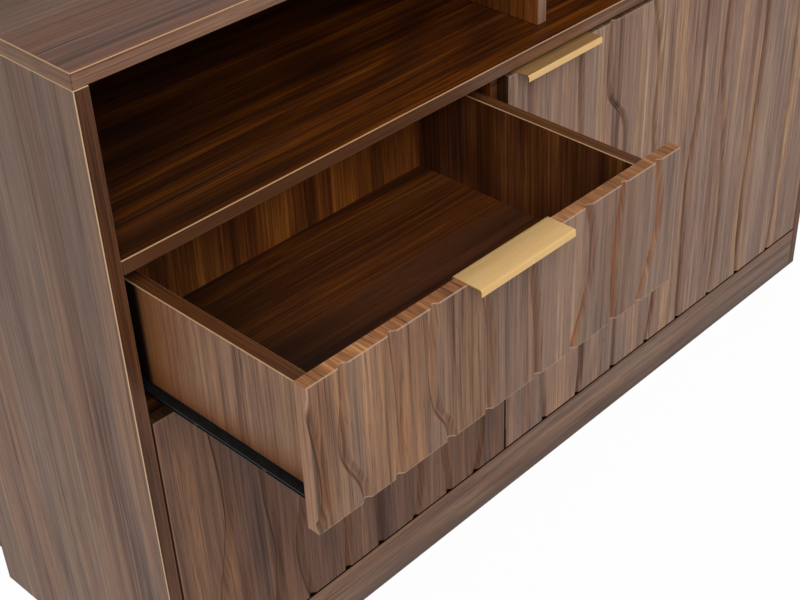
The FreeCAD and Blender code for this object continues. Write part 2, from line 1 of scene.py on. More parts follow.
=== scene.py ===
# %% [markdown]
# # A walnut kitchen buffet
# This lesson dresses a cabinet whose solids are already made and packed: boards, fronts, hinges and slides.
# We load them as a fixed frame in metres, so nothing has to be fitted by eye. What is left to do is what makes
# the cabinet look real: the walnut film, the gold pulls, the small hardware, the light and the camera.

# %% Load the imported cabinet
import bpy
import numpy as np
from mathutils import Matrix, Vector


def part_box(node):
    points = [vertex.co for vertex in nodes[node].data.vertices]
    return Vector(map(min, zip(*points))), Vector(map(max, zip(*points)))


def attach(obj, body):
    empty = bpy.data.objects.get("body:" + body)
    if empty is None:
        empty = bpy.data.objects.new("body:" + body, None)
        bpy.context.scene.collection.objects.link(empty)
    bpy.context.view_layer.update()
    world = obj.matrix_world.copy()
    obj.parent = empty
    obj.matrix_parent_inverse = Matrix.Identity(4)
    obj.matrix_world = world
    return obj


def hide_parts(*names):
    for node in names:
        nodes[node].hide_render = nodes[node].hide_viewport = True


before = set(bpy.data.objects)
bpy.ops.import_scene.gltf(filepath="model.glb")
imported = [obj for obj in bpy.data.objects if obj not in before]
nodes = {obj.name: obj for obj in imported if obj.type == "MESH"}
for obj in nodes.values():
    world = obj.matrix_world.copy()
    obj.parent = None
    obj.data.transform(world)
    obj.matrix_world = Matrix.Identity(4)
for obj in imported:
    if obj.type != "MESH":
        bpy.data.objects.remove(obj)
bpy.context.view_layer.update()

# %% [markdown]
# ## The camera
# The picture was taken from above the cabinet's left front corner. Corners of the boards were matched to their
# pixels, which gives the eye's place, its direction and the focal length. A camera could also be aimed by hand
# with a Track To constraint, but a measured direction written as a matrix is exact and never drifts.

# %% Camera from the measured corners
IMAGE_WIDTH = 800
IMAGE_HEIGHT = 600
FOCAL_PIXELS = 1451.3
AIM_PIXEL = (469.1, 322.5)
EYE = Vector((-1.13387, -0.94435, 1.27449))
AHEAD = Vector((0.596046, 0.540994, -0.593342)).normalized()
RIGHT = Vector((0.667134, -0.744883, -0.008991)).normalized()

lens = bpy.data.cameras.new("photo_camera")
lens.sensor_width = 36.0
lens.lens = FOCAL_PIXELS * lens.sensor_width / IMAGE_WIDTH
lens.shift_x = (IMAGE_WIDTH / 2 - AIM_PIXEL[0]) / IMAGE_WIDTH
lens.shift_y = (AIM_PIXEL[1] - IMAGE_HEIGHT / 2) / IMAGE_WIDTH
camera = bpy.data.objects.new("photo_camera", lens)
up = RIGHT.cross(AHEAD)
turn = Matrix((RIGHT, up, -AHEAD)).transposed().to_4x4()
camera.matrix_world = Matrix.Translation(EYE) @ turn
bpy.context.scene.collection.objects.link(camera)
bpy.context.scene.camera = camera
print("lens", round(lens.lens, 2), "mm, shift", round(lens.shift_x, 3), round(lens.shift_y, 3))

# %% [markdown]
# ## Helpers for shader nodes
# A procedural finish is a small machine of nodes. Writing each node and each link by hand is long, so we make
# a few verbs: one feeds a socket, one adds a node, and the rest are sums, ramps and mixes in plain words.
# Colours are written as paint-chip codes, because those are easy to read off a sample card.

# %% Node verbs
def paint(code):
    """A paint-chip code turned into linear red, green, blue: the screen curve undone, then opaque alpha."""
    screen = np.array([int(code[i:i + 2], 16) for i in (0, 2, 4)]) / 255
    linear = np.where(screen <= 0.04045, screen / 12.92, ((screen + 0.055) / 1.055) ** 2.4)
    return (*linear.tolist(), 1.0)


def feed(socket, value):
    """Feed a socket from another node's output, or set its own number, vector or colour."""
    if isinstance(value, bpy.types.NodeSocket):
        socket.id_data.links.new(value, socket)
    else:
        socket.default_value = value


def add(tree, kind, feeds, out=0, **settings):
    """Add one shader node with its settings and feeds, and hand back one of its outputs."""
    node = tree.nodes.new("ShaderNode" + kind)
    for name, value in settings.items():
        setattr(node, name, value)
    for name, value in feeds.items():
        feed(node.inputs[name], value)
    return node.outputs[out]


def calc(tree, sign, first, second=0.0):
    """One sum on two numbers; the sign names it: multiply, subtract, the larger, or 1 where one is greater."""
    return add(tree, "Math", {0: first, 1: second}, operation=sign)


def rise(tree, value, low, high):
    """A share that rises smoothly from 0 at low to 1 at high; low may be the larger number."""
    feeds = {"Value": value, "From Min": low, "From Max": high}
    return add(tree, "MapRange", feeds, interpolation_type="SMOOTHSTEP", clamp=True)


def mix(tree, share, first, second):
    """Two colours mixed by a share."""
    return add(tree, "Mix", {0: share, 6: first, 7: second}, out=2, data_type="RGBA")


def noise(tree, place, scale, detail, seed):
    """Soft noise of a given scale per metre; the seed picks another sheet of it."""
    feeds = {"Vector": place, "Scale": scale, "Detail": detail, "W": seed}
    return add(tree, "TexNoise", feeds, noise_dimensions="4D")


print("paint chip 806a5d is", np.round(paint("806a5d"), 3).tolist())

# %% [markdown]
# ## Floor, sky and lamps
# The cabinet stands on a bright white ground under soft light that comes from everywhere, so the faces towards us
# are about equally bright and only the insides fall dark. A dome of even light does that, with a large soft lamp
# above to give the edges direction. The floor looks white to the camera but is still lit for the shadow.

# %% Studio
SKY_LEVEL = 0.50
LAMP_AT = Vector((-1.5, -2.3, 3.2))
LAMP_AIM = Vector((-0.1, 0.0, 0.4))
LAMP_SIDE = 3.0
LAMP_WATTS = 95.0
FLOOR_HALF = 30.0
FLOOR_GLOW = 0.97


def seen_directly(tree):
    """1 for rays from the camera and for mirror-like or clear paths, else 0."""
    path = tree.nodes.new("ShaderNodeLightPath")
    glossy = calc(tree, "MAXIMUM", path.outputs["Is Camera Ray"], path.outputs["Is Glossy Ray"])
    return calc(tree, "MAXIMUM", glossy, path.outputs["Is Transmission Ray"])


scene = bpy.context.scene
scene.view_settings.view_transform = "Standard"
sky = bpy.data.worlds.new("soft_sky")
scene.world = sky
sky.use_nodes = True
backdrop = sky.node_tree.nodes["Background"]
backdrop.inputs["Color"].default_value = (1.0, 1.0, 1.0, 1.0)
shown = seen_directly(sky.node_tree)
level = add(sky.node_tree, "MapRange", {"Value": shown, "To Min": SKY_LEVEL, "To Max": 1.0})
feed(backdrop.inputs["Strength"], level)

lamp = bpy.data.lights.new("soft_lamp", "AREA")
lamp.shape = "DISK"
lamp.size = LAMP_SIDE
lamp.energy = LAMP_WATTS
lamp_object = bpy.data.objects.new("soft_lamp", lamp)
lamp_object.location = LAMP_AT
lamp_object.rotation_euler = (LAMP_AIM - LAMP_AT).to_track_quat("-Z", "Y").to_euler()
scene.collection.objects.link(lamp_object)


def mesh_piece(name, points, faces):
    """A mesh object at the origin from arrays of points and faces."""
    mesh = bpy.data.meshes.new(name)
    mesh.from_pydata(points.tolist(), [], faces)
    mesh.update()
    piece = bpy.data.objects.new(name, mesh)
    scene.collection.objects.link(piece)
    return piece


corners = FLOOR_HALF * np.array([(-1, -1, 0), (1, -1, 0), (1, 1, 0), (-1, 1, 0)])
floor = mesh_piece("studio_floor", corners, [(0, 1, 2, 3)])
floor_paint = bpy.data.materials.new("white_floor")
floor_paint.use_nodes = True
tree = floor_paint.node_tree
tree.nodes.remove(tree.nodes["Principled BSDF"])
matt = add(tree, "BsdfDiffuse", {"Color": (0.8, 0.8, 0.8, 1.0)})
glow = add(tree, "Emission", {"Color": (1.0, 1.0, 1.0, 1.0), "Strength": 1.0})
share = calc(tree, "MULTIPLY", seen_directly(tree), FLOOR_GLOW)
feed(tree.nodes["Material Output"].inputs["Surface"], add(tree, "MixShader", {0: share, 1: matt, 2: glow}))
floor.data.materials.append(floor_paint)
print("lamp", LAMP_WATTS, "W over", LAMP_SIDE, "m; sky", SKY_LEVEL)

# %% [markdown]
# ## Walnut figure
# The boards are covered with a walnut film: fine fibres, streaks a few millimetres wide, broad bands of colour,
# flames that bend like contour lines, and short dark pores. A scanned picture would repeat and blur, so we grow
# the figure from noise. Squeezing the coordinate along the grain makes every blob of noise a streak; the flames
# are a wave run over a smooth noise that is squeezed less. One node group holds it, and every board calls it.

# %% Figure group
BAND_SCALE = 17.0
STREAK_SCALE = 70.0
FINE_SCALE = 240.0
FIBRE_SCALE = 700.0
PORE_SCALE = 850.0
FLAME_SCALE = 4.5
FLAME_COUNT = 15.0
FLAME_STRETCH = (1.0, 1.0, 4.5)
WANDER = 0.016
FLOW = (1.0, 1.0, 9.0)
LONG_STREAK = (1.0, 1.0, 0.55)
LONG_FIBRE = (1.0, 1.0, 0.30)
SPREAD = (0.30, 0.70)
LAYERS = {"band": 0.18, "streak": 0.19, "fine": 0.24, "fibre": 0.23, "flame": 0.16}

figure = bpy.data.node_groups.new("walnut_figure", "ShaderNodeTree")
figure.interface.new_socket("Place", in_out="INPUT", socket_type="NodeSocketVector")
for title in ("Tone", "Hue", "Rust", "Flame", "Pores"):
    figure.interface.new_socket(title, in_out="OUTPUT", socket_type="NodeSocketFloat")
entry = figure.nodes.new("NodeGroupInput").outputs["Place"]
result = figure.nodes.new("NodeGroupOutput")
flow = add(figure, "VectorMath", {0: entry, 1: FLOW}, operation="MULTIPLY")
sway = add(figure, "TexNoise", {"Vector": flow, "Scale": 6.0, "Detail": 1.0}, out=1)
sway = add(figure, "VectorMath", {0: sway, 1: (0.5, 0.5, 0.5)}, operation="SUBTRACT")
sway = add(figure, "VectorMath", {0: sway, 1: (WANDER, WANDER, 0.0)}, operation="MULTIPLY")
place = add(figure, "VectorMath", {0: entry, 1: sway}, operation="ADD")
loose = add(figure, "VectorMath", {0: place, 1: FLAME_STRETCH}, operation="MULTIPLY")
longer = add(figure, "VectorMath", {0: place, 1: LONG_STREAK}, operation="MULTIPLY")
longest = add(figure, "VectorMath", {0: place, 1: LONG_FIBRE}, operation="MULTIPLY")
hills = calc(figure, "MULTIPLY", noise(figure, loose, FLAME_SCALE, 0.5, 5.0), 2 * np.pi * FLAME_COUNT)
flame = add(figure, "Math", {0: calc(figure, "SINE", hills), 1: 0.5, 2: 0.5}, operation="MULTIPLY_ADD")
layers = {
    "band": rise(figure, noise(figure, place, BAND_SCALE, 1.0, 1.0), 0.32, 0.68),
    "streak": rise(figure, noise(figure, longer, STREAK_SCALE, 2.0, 2.0), *SPREAD),
    "fine": rise(figure, noise(figure, longest, FINE_SCALE, 2.0, 3.0), *SPREAD),
    "fibre": rise(figure, noise(figure, longest, FIBRE_SCALE, 1.0, 7.0), *SPREAD),
    "flame": flame,
}
tone = 0.0
for title, share in LAYERS.items():
    tone = add(figure, "Math", {0: layers[title], 1: share, 2: tone}, operation="MULTIPLY_ADD")
tone = add(figure, "MapRange", {"Value": tone, "From Min": 0.16, "From Max": 0.84})
feed(result.inputs["Tone"], tone)
feed(result.inputs["Hue"], rise(figure, noise(figure, place, 24.0, 2.0, 9.0), 0.44, 0.58))
feed(result.inputs["Rust"], rise(figure, noise(figure, place, 34.0, 2.0, 4.0), 0.52, 0.70))
feed(result.inputs["Flame"], calc(figure, "POWER", flame, 5.0))
feed(result.inputs["Pores"], rise(figure, noise(figure, place, PORE_SCALE, 1.0, 6.0), 0.57, 0.70))
print("walnut figure:", len(figure.nodes), "nodes")

# %% [markdown]
# ## Walnut boards
# One board shows more than one cut: a grey-brown outer face, a much darker and redder inner face, which is partly
# painted shade, and edges banded with strips whose grain runs along them. Splitting the mesh by hand would be slow,
# so the finish asks which way a point faces in the board's own space and picks the grain and the colours for that
# side.
# Where the normal leans between two sides we are on the small bevel, which gets a painted highlight, a light tan
# line.

# %% Walnut finish
ALONG = 0.04
QUARTER = np.pi / 2
GRAIN = {
    "x": ((ALONG, 1.0, 1.0), (0.0, -QUARTER, 0.0)),
    "y": ((1.0, ALONG, 1.0), (QUARTER, 0.0, 0.0)),
    "z": ((1.0, 1.0, ALONG), (0.0, 0.0, 0.0)),
    "wrap": ((1.0, 0.05, ALONG), (0.0, 0.0, 0.0)),
}
LEFT, RIGHTWARD = (-1, 0, 0), (1, 0, 0)
FRONT, BACK = (0, -1, 0), (0, 1, 0)
DOWN, UP = (0, 0, -1), (0, 0, 1)
RUST = "6f432a"
# Paint chips of the painted highlights on the bevels: the colour, its strength and how far up a bevel must lean.
DULL_ARRIS = ("a5805e", 0.45, 0.3)
TAN_ARRIS = ("b8916b", 0.8, 0.3)
SHELF_ARRIS = ("d0a97f", 0.62, 0.3)
SIDE_ARRIS = ("d0a97f", 0.8, -0.3)
NO_ARRIS = ("a5805e", 0.0, 0.3)
OUTER_BANDS = (0.45, 0.68, 0.84)
INNER_BANDS = (0.80, 1.05, 0.45)
EDGE_BANDS = (0.30, 1.0, 0.80)
EDGE_RUST = 0.1
NEXT_SHEET = 0.37
FLAME_DARK = 0.16
PORE_DARK = 0.36
FACING = 0.72
BEVEL_LEAN = 0.92
TURNED_RIGHT = 0.5
FILM_ROUGH = (0.56, 0.46)
FILM_SHINE = 0.22
FILM_BUMP = (0.25, 0.0003)


def shades(tree, tone, codes):
    """A colour ramp over the tone, from the darkest paint chip to the lightest, evenly spaced."""
    ramp = tree.nodes.new("ShaderNodeValToRGB")
    stops = ramp.color_ramp.elements
    for spot in np.linspace(0, 1, len(codes))[1:-1].tolist():
        stops.new(spot)
    for stop, code in zip(stops, codes):
        stop.color = paint(code)
    feed(ramp.inputs["Fac"], tone)
    return ramp.outputs["Color"]


def facing(tree, normal, sides):
    """1 where the surface faces one of the given sides, else 0."""
    found = 0.0
    for side in sides:
        lean = add(tree, "VectorMath", {0: normal, 1: side}, out=1, operation="DOT_PRODUCT")
        found = calc(tree, "MAXIMUM", calc(tree, "GREATER_THAN", lean, FACING), found)
    return found


def new_finish(name):
    """A material with its tree, its shader and the object coordinates it reads."""
    material = bpy.data.materials.new(name)
    material.use_nodes = True
    tree = material.node_tree
    coordinates = tree.nodes.new("ShaderNodeTexCoord")
    return material, tree, tree.nodes["Principled BSDF"], coordinates


def grain_place(tree, place, grain, seed):
    """The object's coordinates squeezed along the grain, turned so the grain is the third one, and moved on."""
    squeeze, turn = GRAIN[grain]
    feeds = {"Vector": place, "Location": (seed * 3.1, seed * 1.7, seed * 2.3), "Scale": squeeze, "Rotation": turn}
    return add(tree, "Mapping", feeds)


def grain_colour(tree, drawn, codes, rust, bands):
    """The ramp's colour with bands and rust streaks mixed in, then darkened by flames and pores. The bands are
    given as their strength and how saturated and how bright the colour stays in them."""
    colour = shades(tree, drawn.outputs["Tone"], codes)
    other = add(tree, "HueSaturation", {"Saturation": bands[1], "Value": bands[2], "Color": colour})
    colour = mix(tree, calc(tree, "MULTIPLY", drawn.outputs["Hue"], bands[0]), colour, other)
    colour = mix(tree, calc(tree, "MULTIPLY", drawn.outputs["Rust"], rust), colour, paint(RUST))
    dark = calc(tree, "MULTIPLY", drawn.outputs["Flame"], FLAME_DARK)
    dark = add(tree, "Math", {0: drawn.outputs["Pores"], 1: PORE_DARK, 2: dark}, operation="MULTIPLY_ADD")
    return mix(tree, dark, colour, (0.0, 0.0, 0.0, 1.0))


def tinted(tree, place, colour, tints):
    """The colour drawn towards other paint chips: each tint gives an axis, a start, an end, a chip, a strength."""
    axes = add(tree, "SeparateXYZ", {0: place}).node.outputs
    for axis, start, end, code, strength in tints:
        share = calc(tree, "MULTIPLY", rise(tree, axes[axis], start, end), strength)
        colour = mix(tree, share, colour, paint(code))
    return colour


def film_surface(tree, shader, drawn):
    """A satin film: roughness and a faint bump follow the streaks and the pores."""
    feeds = {"Value": drawn.outputs["Tone"], "To Min": FILM_ROUGH[0], "To Max": FILM_ROUGH[1]}
    feed(shader.inputs["Roughness"], add(tree, "MapRange", feeds))
    shader.inputs["Specular IOR Level"].default_value = FILM_SHINE
    height = calc(tree, "SUBTRACT", drawn.outputs["Tone"], drawn.outputs["Pores"])
    feeds = {"Height": height, "Strength": FILM_BUMP[0], "Distance": FILM_BUMP[1]}
    feed(shader.inputs["Normal"], add(tree, "Bump", feeds))


def walnut(name, seed, sides, arris=DULL_ARRIS, rust=0.30, bands=OUTER_BANDS):
    """Walnut for one board. Each row of sides gives the directions, the grain, the shades and the tints; the first
    row is for the rest of the board. The arris is the paint chip of the painted highlight on the bevels, how strongly
    it shows and how far a bevel must lean up to get it; bevels that turn to the right get none."""
    material, tree, shader, coordinates = new_finish(name)
    normal = coordinates.outputs["Normal"]
    place = coordinates.outputs["Object"]
    spot = grain_place(tree, place, sides[0][1], seed)
    masks = [facing(tree, normal, row[0]) for row in sides[1:]]
    for row, mask in zip(sides[1:], masks):
        other = grain_place(tree, place, row[1], seed + NEXT_SHEET)
        spot = add(tree, "Mix", {0: mask, 4: spot, 5: other}, out=1, data_type="VECTOR")
    drawn = tree.nodes.new("ShaderNodeGroup")
    drawn.node_tree = figure
    feed(drawn.inputs["Place"], spot)
    colour = tinted(tree, place, grain_colour(tree, drawn, sides[0][2], rust, bands), sides[0][3])
    for row, mask in zip(sides[1:], masks):
        other = grain_colour(tree, drawn, row[2], EDGE_RUST, row[4] if len(row) > 4 else EDGE_BANDS)
        colour = mix(tree, mask, colour, tinted(tree, place, other, row[3]))
    # Bevels that lean up and do not turn to the right get the painted highlight.
    leaning = add(tree, "VectorMath", {0: normal}, operation="ABSOLUTE")
    leaning = add(tree, "SeparateXYZ", {0: leaning}).node.outputs
    flat = calc(tree, "MAXIMUM", calc(tree, "MAXIMUM", leaning[0], leaning[1]), leaning[2])
    lean = add(tree, "SeparateXYZ", {0: normal}).node.outputs
    lit = calc(tree, "MULTIPLY", calc(tree, "GREATER_THAN", lean["Z"], arris[2]),
               calc(tree, "LESS_THAN", calc(tree, "SUBTRACT", lean["X"], lean["Z"]), TURNED_RIGHT))
    painted_highlight = calc(tree, "MULTIPLY", calc(tree, "LESS_THAN", flat, BEVEL_LEAN), lit)
    colour = mix(tree, calc(tree, "MULTIPLY", painted_highlight, arris[1]), colour, paint(arris[0]))
    feed(shader.inputs["Base Color"], colour)
    film_surface(tree, shader, drawn)
    return material


def dress(node, material):
    """Give a packed board its finish."""
    for slot in nodes[node].material_slots:
        slot.material = material


# %% [markdown]
# ## The carcass boards
# Each board gets its own seed, so no two show the same streaks. The outer faces are brown with dull bands, the
# insides are chocolate, a colour that is partly painted shade, and the front edges lie between. Some faces get
# painted
# shade along the board: the shelf in the niche falls almost black towards the left end and its front edge darker, and
# the inner face of the left side is darker by depth and by height. The top is greyer away from its front edge. Narrow
# gaps that light hardly reaches, such as the top of the plinth under the doors, are given shades close to black.

# %% Dress the carcass
SIDE = ["412718", "664433", "7d5c46", "8d6548", "a37855"]
TOP = ["331b0a", "4c2813", "62371a", "74421f", "865228"]
# The inside shades are darker and redder than the outer ones, partly as painted shade.
INNER = ["240f02", "492006", "6d360b", "9e5818"]
BAND = ["351b0c", "4f2d17", "613b22", "785031"]
SHELF_BAND = ["432817", "66442e", "7a563d", "926c4d"]
DIVIDER = ["401f0a", "713b19", "905223", "b67234"]
DIVIDER_BAND = ["634636", "846452", "967460", "ab8a6c"]
FRONT_BAND = ["402718", "664534", "7d5b48", "956f56"]
PLINTH = ["462d1e", "6b4a37", "805c46", "987551"]
GAP_DARK = ["0a0402", "140904", "1e0e06"]

side_rows = [(None, "z", SIDE, [(2, 0.40, 0.60, "6b5a4e", 0.35)])]
side_edges = [([FRONT], "z", BAND, []), ([BACK, UP, DOWN], "z", BAND, [])]
# Painted shade on the inner face of the left side, by depth and by height.
inner_painted_shade = [(1, -0.02, -0.05, "080402", 0.9), (2, 0.55, 0.62, "0c0603", 0.7)]
left_inside = ([RIGHTWARD], "z", INNER, inner_painted_shade, INNER_BANDS)
right_inside = ([LEFT], "z", INNER, [], INNER_BANDS)
dress("side_left", walnut("walnut_side_left", 1.0, side_rows + [left_inside] + side_edges, arris=SIDE_ARRIS))
dress("side_right", walnut("walnut_side_right", 2.0, side_rows + [right_inside] + side_edges))
dress("top_board", walnut("walnut_top", 3.0, [
    (None, "x", TOP, [(1, -0.02, 0.05, "4c3a2c", 0.5)]),
    ([DOWN], "x", INNER, []), ([FRONT, BACK], "x", FRONT_BAND, []),
    ([LEFT, RIGHTWARD], "y", PLINTH, [])], arris=TAN_ARRIS))
# The niche shelf and its front edge fall darker towards the left end: painted shade.
dress("niche_shelf", walnut("walnut_niche_shelf", 4.0, [
    (None, "x", INNER, [(0, -0.10, -0.60, "150d06", 0.55)]),
    ([FRONT], "x", SHELF_BAND, [(0, 0.10, -0.35, "4d2710", 0.75)])], arris=SHELF_ARRIS, bands=INNER_BANDS))
dress("niche_divider", walnut("walnut_divider", 5.0, [
    (None, "z", DIVIDER, []), ([FRONT], "z", DIVIDER_BAND, [])], bands=INNER_BANDS))
dress("plinth_front", walnut("walnut_plinth", 6.0, [
    (None, "x", PLINTH, [(2, 0.035, 0.005, "4a3c33", 0.55)]),
    ([UP], "x", GAP_DARK, []), ([BACK], "x", INNER, [])], arris=NO_ARRIS))
for seed, node, grain in [
        (7.0, "partition", "z"), (8.0, "bay_divider", "x"), (9.0, "bottom_board", "x"), (10.0, "plinth_rear", "x"),
        (11.0, "plinth_brace", "y"), (12.0, "inner_shelf", "x")]:
    rows = [(None, grain, INNER, []), ([FRONT], "x", BAND, [])]
    dress(node, walnut("walnut_" + node, seed, rows, arris=NO_ARRIS, bands=INNER_BANDS))
print("carcass boards dressed")

# %% [markdown]
# ## Grooved fronts
# The drawer front and the two doors are one film over a board with wandering grooves cut into it. In the grooves a
# painted shade tints the film rust or brown, more with depth, and the wall that faces right gets a painted shadow
# line.
# Painting them by hand would need a map, so the finish measures how far a point lies behind the face and where its
# wall leans. The film wraps over the edges, so its streaks run across the top edge, and the rim of the face gets a
# thin pale line, a painted highlight.

# %% Front finish
GROOVE_LIP = 0.0004
GROOVE_WALL = 0.0012
GROOVE_FULL = 0.0027
RIM = 0.0013
# Rust shades of the painted shade in the drawer front's grooves.
GROOVE_SHADE_RUST = ["4f301e", "7b4e33", "9c6848"]
SHADOW = "2a180d"
WALL_DARK = 0.40
AWAY = (0.25, 0.6)
FORWARD = (0.05, 0.30)
FACE_ON = 0.15
PATCH = (0.22, 0.50)
FRONT_RUST = 0.25
FRONT_EDGE_RUST = 0.15
# Brown shades of the painted shade in the doors' grooves.
GROOVE_SHADE_BROWN = ["3e281b", "5d3f2c", "795640"]


def grooved_front(node, seed, codes, edges, grooves, rim, tints=(), bands=OUTER_BANDS, shaded=None):
    """Walnut for a front. Edges gives the shades of the top edge and of the ends; grooves gives the shades of the
    painted shade in them, its strength and where it grows along X from a third to the whole; rim gives the paint chip
    of the painted highlight on the rim, how strongly it shows and the height it starts from; shaded gives how far a
    painted shadow line reaches in from the left end, the heights where it starts and is full, and its strength."""
    material, tree, shader, coordinates = new_finish("walnut_" + node)
    low, high = (Vector(corner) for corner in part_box(node))
    normal = coordinates.outputs["Normal"]
    place = coordinates.outputs["Object"]
    axes = add(tree, "SeparateXYZ", {0: place}).node.outputs
    drawn = tree.nodes.new("ShaderNodeGroup")
    drawn.node_tree = figure
    ends = facing(tree, normal, [LEFT, RIGHTWARD])
    feeds = {0: ends, 4: grain_place(tree, place, "wrap", seed), 5: grain_place(tree, place, "z", seed + NEXT_SHEET)}
    feed(drawn.inputs["Place"], add(tree, "Mix", feeds, out=1, data_type="VECTOR"))
    colour = tinted(tree, place, grain_colour(tree, drawn, codes, FRONT_RUST, bands), tints)
    for sides, shade in (([UP], edges[0]), ([LEFT, RIGHTWARD, DOWN], edges[1]), ([BACK], INNER)):
        other = grain_colour(tree, drawn, shade, FRONT_EDGE_RUST, EDGE_BANDS)
        colour = mix(tree, facing(tree, normal, sides), colour, other)
    centre = add(tree, "VectorMath", {0: place, 1: (low + high) / 2}, operation="SUBTRACT")
    centre = add(tree, "VectorMath", {0: centre}, operation="ABSOLUTE")
    apart = add(tree, "VectorMath", {0: centre, 1: (high - low) / 2}, operation="SUBTRACT")
    apart = add(tree, "SeparateXYZ", {0: apart}).node.outputs
    at_rim = calc(tree, "GREATER_THAN", calc(tree, "MAXIMUM", apart["X"], apart["Z"]), -RIM)
    forward = add(tree, "VectorMath", {0: normal, 1: FRONT}, out=1, operation="DOT_PRODUCT")
    inside = calc(tree, "SUBTRACT", 1.0, at_rim)
    on_face = calc(tree, "MULTIPLY", inside, calc(tree, "GREATER_THAN", forward, FACE_ON))
    depth = calc(tree, "SUBTRACT", axes["Y"], low.y)
    # Painted shade in the grooves: patchy, growing along X and with depth.
    patchy = rise(tree, noise(tree, grain_place(tree, place, "wrap", seed + 5.0), 30.0, 2.0, 8.0), *PATCH)
    feeds = {"Value": axes["X"], "From Min": grooves[2], "From Max": grooves[3], "To Min": 0.33}
    grown = calc(tree, "MULTIPLY", patchy, add(tree, "MapRange", feeds))
    share = calc(tree, "MULTIPLY", rise(tree, depth, GROOVE_WALL, GROOVE_FULL), grown)
    share = calc(tree, "MULTIPLY", calc(tree, "MULTIPLY", share, on_face), grooves[1])
    colour = mix(tree, share, colour, shades(tree, drawn.outputs["Tone"], grooves[0]))
    # The groove wall that faces right gets a painted shadow line.
    away = add(tree, "VectorMath", {0: normal, 1: RIGHTWARD}, out=1, operation="DOT_PRODUCT")
    wall = calc(tree, "MULTIPLY", rise(tree, away, *AWAY), rise(tree, depth, GROOVE_LIP, GROOVE_WALL))
    wall = calc(tree, "MULTIPLY", calc(tree, "MULTIPLY", wall, on_face), WALL_DARK)
    colour = mix(tree, wall, colour, paint(SHADOW))
    # The rim of the face, facing forward and above the given height, gets a painted highlight.
    painted_highlight = calc(tree, "GREATER_THAN", axes["Z"], rim[2])
    painted_highlight = calc(tree, "MULTIPLY", rise(tree, forward, *FORWARD), painted_highlight)
    painted_highlight = calc(tree, "MULTIPLY", painted_highlight, at_rim)
    colour = mix(tree, calc(tree, "MULTIPLY", painted_highlight, rim[1]), colour, paint(rim[0]))
    if shaded:
        line = rise(tree, axes["X"], low.x + shaded[0], low.x)
        line = calc(tree, "MULTIPLY", line, rise(tree, forward, *FORWARD))
        line = calc(tree, "MULTIPLY", line, rise(tree, axes["Z"], shaded[1], shaded[2]))
        colour = mix(tree, calc(tree, "MULTIPLY", line, shaded[3]), colour, paint(SHADOW))
    feed(shader.inputs["Base Color"], colour)
    film_surface(tree, shader, drawn)
    dress(node, material)


# %% [markdown]
# ## The three fronts
# Now each front gets its own shades. The drawer front stands in full light, and the painted shade in its grooves
# turns rust towards the right; the left door lies in the drawer's shade, so its shades are painted deeper; the door
# edges get near-black shades as painted shade; the right door is the palest. At the left end of the drawer front a
# groove runs off the board, and the line where it does so gets a painted shadow.

# %% Dress the fronts
DRAWER_FACE = ["43291a", "694832", "825f46", "946a49", "b3855c"]
# The left door's shades are painted deeper, as the drawer's shade on it.
LEFT_FACE_SHADED = ["351c12", "523121", "654330", "754d32", "8e5f3d"]
RIGHT_FACE = ["503527", "775643", "886857", "9a7458", "b78f65"]
TOP_EDGE = ["50301a", "81532f", "9c663e", "c48e5c"]
END_GRAIN = ["714e37", "966c51", "aa7f61", "c49875"]
DOOR_TOP = ["4a3323", "664a37", "7a5c47", "93745a"]
# The door edges' shades are near black: painted shade.
DOOR_EDGE_SHADE = ["22130a", "38220f", "4a2f1c", "5f412c"]
grooved_front("drawer_front", 20.0, DRAWER_FACE, (TOP_EDGE, END_GRAIN), (GROOVE_SHADE_RUST, 1.0, -0.40, -0.24),
              ("b09882", 0.55, 0.0), [(0, -0.39, -0.35, "70605a", 0.25)], shaded=(0.007, 0.565, 0.545, 0.75))
grooved_front("door_left", 21.0, LEFT_FACE_SHADED, (DOOR_EDGE_SHADE, DOOR_EDGE_SHADE), (GROOVE_SHADE_BROWN, 0.7, -1.0, -0.9),
              ("927661", 0.35, 0.10), bands=(0.45, 0.85, 0.88))
grooved_front("door_right", 22.0, RIGHT_FACE, (DOOR_TOP, DOOR_EDGE_SHADE), (GROOVE_SHADE_BROWN, 0.65, -1.0, -0.9),
              ("9c8471", 0.40, 0.10))
print("three fronts dressed")

# %% [markdown]
# ## The drawer box
# The box shows its left side outside, which is brown like the fronts but gets painted shade: deep orange low down and
# towards the cabinet, and nearly black on the last strip, inside the gap beside the carcass. Its inner faces are
# darker, more orange copies of the walnut, partly painted shade, and its floor and back fall darker towards the left
# end as painted shade. Its top edges are dark bands with long grain and bevels with a painted highlight.

# %% Dress the drawer
OUTSIDE = ["553421", "7b5339", "90694c", "a1714c", "ba885d"]
# The box's inside shades are darker and more orange, partly as painted shade.
DRAWER_IN = ["381b09", "653312", "894d1b", "b4702e"]
RIGHT_WALL = ["2c150a", "522a15", "6f3f1e", "925e32"]
DRAWER_FLOOR = ["210e03", "3d1c07", "582c0a", "784517"]
BOX_BAND = ["341808", "4d2a0f", "5e3618", "754b29"]
